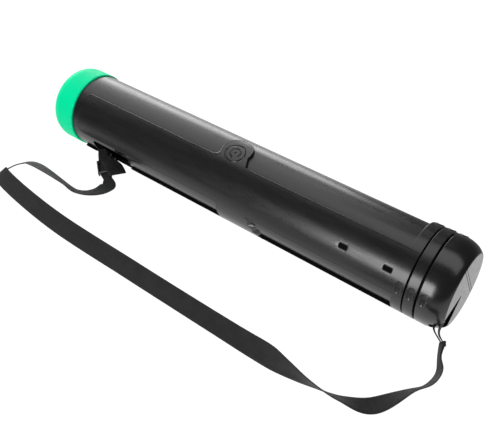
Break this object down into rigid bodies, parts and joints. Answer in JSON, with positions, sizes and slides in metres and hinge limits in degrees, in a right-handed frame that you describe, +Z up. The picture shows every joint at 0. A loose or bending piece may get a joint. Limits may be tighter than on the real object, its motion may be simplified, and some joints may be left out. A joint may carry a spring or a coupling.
{
  "type": "drawing tube",
  "caption": "Telescopic tube for rolled drawings, with a domed pull-off lid, raised side pads, a twist lock ring, a rounded end cap and a webbing shoulder strap.",
  "frame": {"origin": "centre of the end cap's flat face, on the tube's axis", "axes": "+X out of the flat face along the tube's axis, +Z up with the tube lying down, -Y towards the side the strap lies on"},
  "size_m": [0.6643, 0.2418, 0.11],
  "materials": {
    "body_black": "moulded polypropylene with a soft satin gloss",
    "rail_black": "matte moulded plastic",
    "cap_black": "smooth moulded plastic",
    "inner_black": "plain extruded plastic",
    "bearing_grey": "plain nylon",
    "lid_green": "bright green moulded plastic with fine turned lines",
    "gasket_rubber": "soft rubber",
    "foam": "closed-cell foam",
    "steel": "plain steel",
    "webbing_black": "ribbed polyester webbing",
    "slider_black": "polished moulded plastic"
  },
  "bodies": {
    "outer": {"outer_tube": "body_black", "strap_rail": "rail_black", "rail_pin": "steel", "guide_sleeve": "bearing_grey", "clamp_collet": "bearing_grey", "ring_clip": "steel", "strap": "webbing_black"},
    "lock": {"lock_ring": "body_black"},
    "inner": {"inner_tube": "inner_black", "stop_ring": "bearing_grey", "end_cap": "cap_black", "end_disc": "inner_black", "end_pad": "foam"},
    "lid": {"lid": "lid_green", "lid_gasket": "gasket_rubber", "lid_pad": "foam"},
    "slider": {"strap_slider": "slider_black"}
  },
  "joints": [
    {"name": "extension", "type": "slide", "parent": "outer", "child": "inner", "axis": [1, 0, 0], "range_m": [0, 0.311], "deforming": ["strap"]},
    {"name": "lock_twist", "type": "hinge", "parent": "outer", "child": "lock", "pos_m": [-0.041, 0, 0], "axis": [1, 0, 0], "range_deg": [0, 40]},
    {"name": "lid_pull", "type": "slide", "parent": "outer", "child": "lid", "axis": [-1, 0, 0], "range_m": [0, 0.12]},
    {"name": "slider_shift", "type": "slide", "parent": "outer", "child": "slider", "axis": [0.7399, -0.6209, -0.2588], "range_m": [0, 0.01]}
  ]
}
